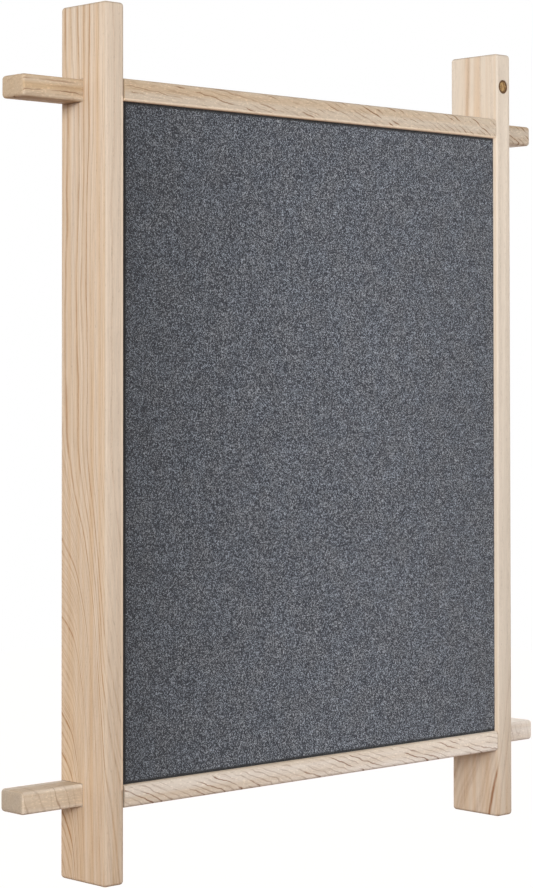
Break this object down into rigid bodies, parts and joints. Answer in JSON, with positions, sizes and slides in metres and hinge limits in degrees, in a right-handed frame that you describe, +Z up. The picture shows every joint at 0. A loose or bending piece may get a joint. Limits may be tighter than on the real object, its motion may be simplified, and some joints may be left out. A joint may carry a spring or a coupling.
{
  "type": "pinboard",
  "caption": "Wall-hung pinboard: cloth-covered softboard panel in an oak frame whose posts and rails cross and run on past each other at the corners.",
  "frame": {"origin": "middle of the top rail's back face, which lies on the wall", "axes": "+Z up, +X to the right as seen from the front, +Y out of the back into the wall; the pinning face looks along -Y"},
  "size_m": [0.681, 0.061, 0.773],
  "materials": {
    "post_oak": "pale oak, sanded, soap or matt oil finish",
    "rail_oak": "pale oak with ray flecks, sanded, matt",
    "plug_oak": "darker oak plug, end sanded",
    "batten_pine": "planed softwood, raw",
    "cloth": "blue-grey heathered woven wool felt, matt",
    "softboard": "soft fibreboard, raw",
    "hardboard": "brown hardboard, smooth side out",
    "screw_steel": "zinc plated, satin"
  },
  "bodies": {
    "root": {"left_post": "post_oak", "right_post": "post_oak", "top_rail": "rail_oak", "bottom_rail": "rail_oak", "plug": "plug_oak", "fabric_cover": "cloth", "softboard_core": "softboard", "backing_board": "hardboard", "top_batten": "batten_pine", "bottom_batten": "batten_pine", "left_batten": "batten_pine", "right_batten": "batten_pine", "left_hanger": "screw_steel", "right_hanger": "screw_steel", "joint_screw_top_left": "screw_steel", "joint_screw_top_right": "screw_steel", "joint_screw_bottom_left": "screw_steel", "joint_screw_bottom_right": "screw_steel", "batten_screw_left_1": "screw_steel", "batten_screw_left_2": "screw_steel", "batten_screw_left_3": "screw_steel", "batten_screw_right_1": "screw_steel", "batten_screw_right_2": "screw_steel", "batten_screw_right_3": "screw_steel", "batten_screw_top_1": "screw_steel", "batten_screw_top_2": "screw_steel", "batten_screw_top_3": "screw_steel", "batten_screw_bottom_1": "screw_steel", "batten_screw_bottom_2": "screw_steel", "batten_screw_bottom_3": "screw_steel", "hanger_screw_left_upper": "screw_steel", "hanger_screw_left_lower": "screw_steel", "hanger_screw_right_upper": "screw_steel", "hanger_screw_right_lower": "screw_steel"}
  },
  "joints": []
}
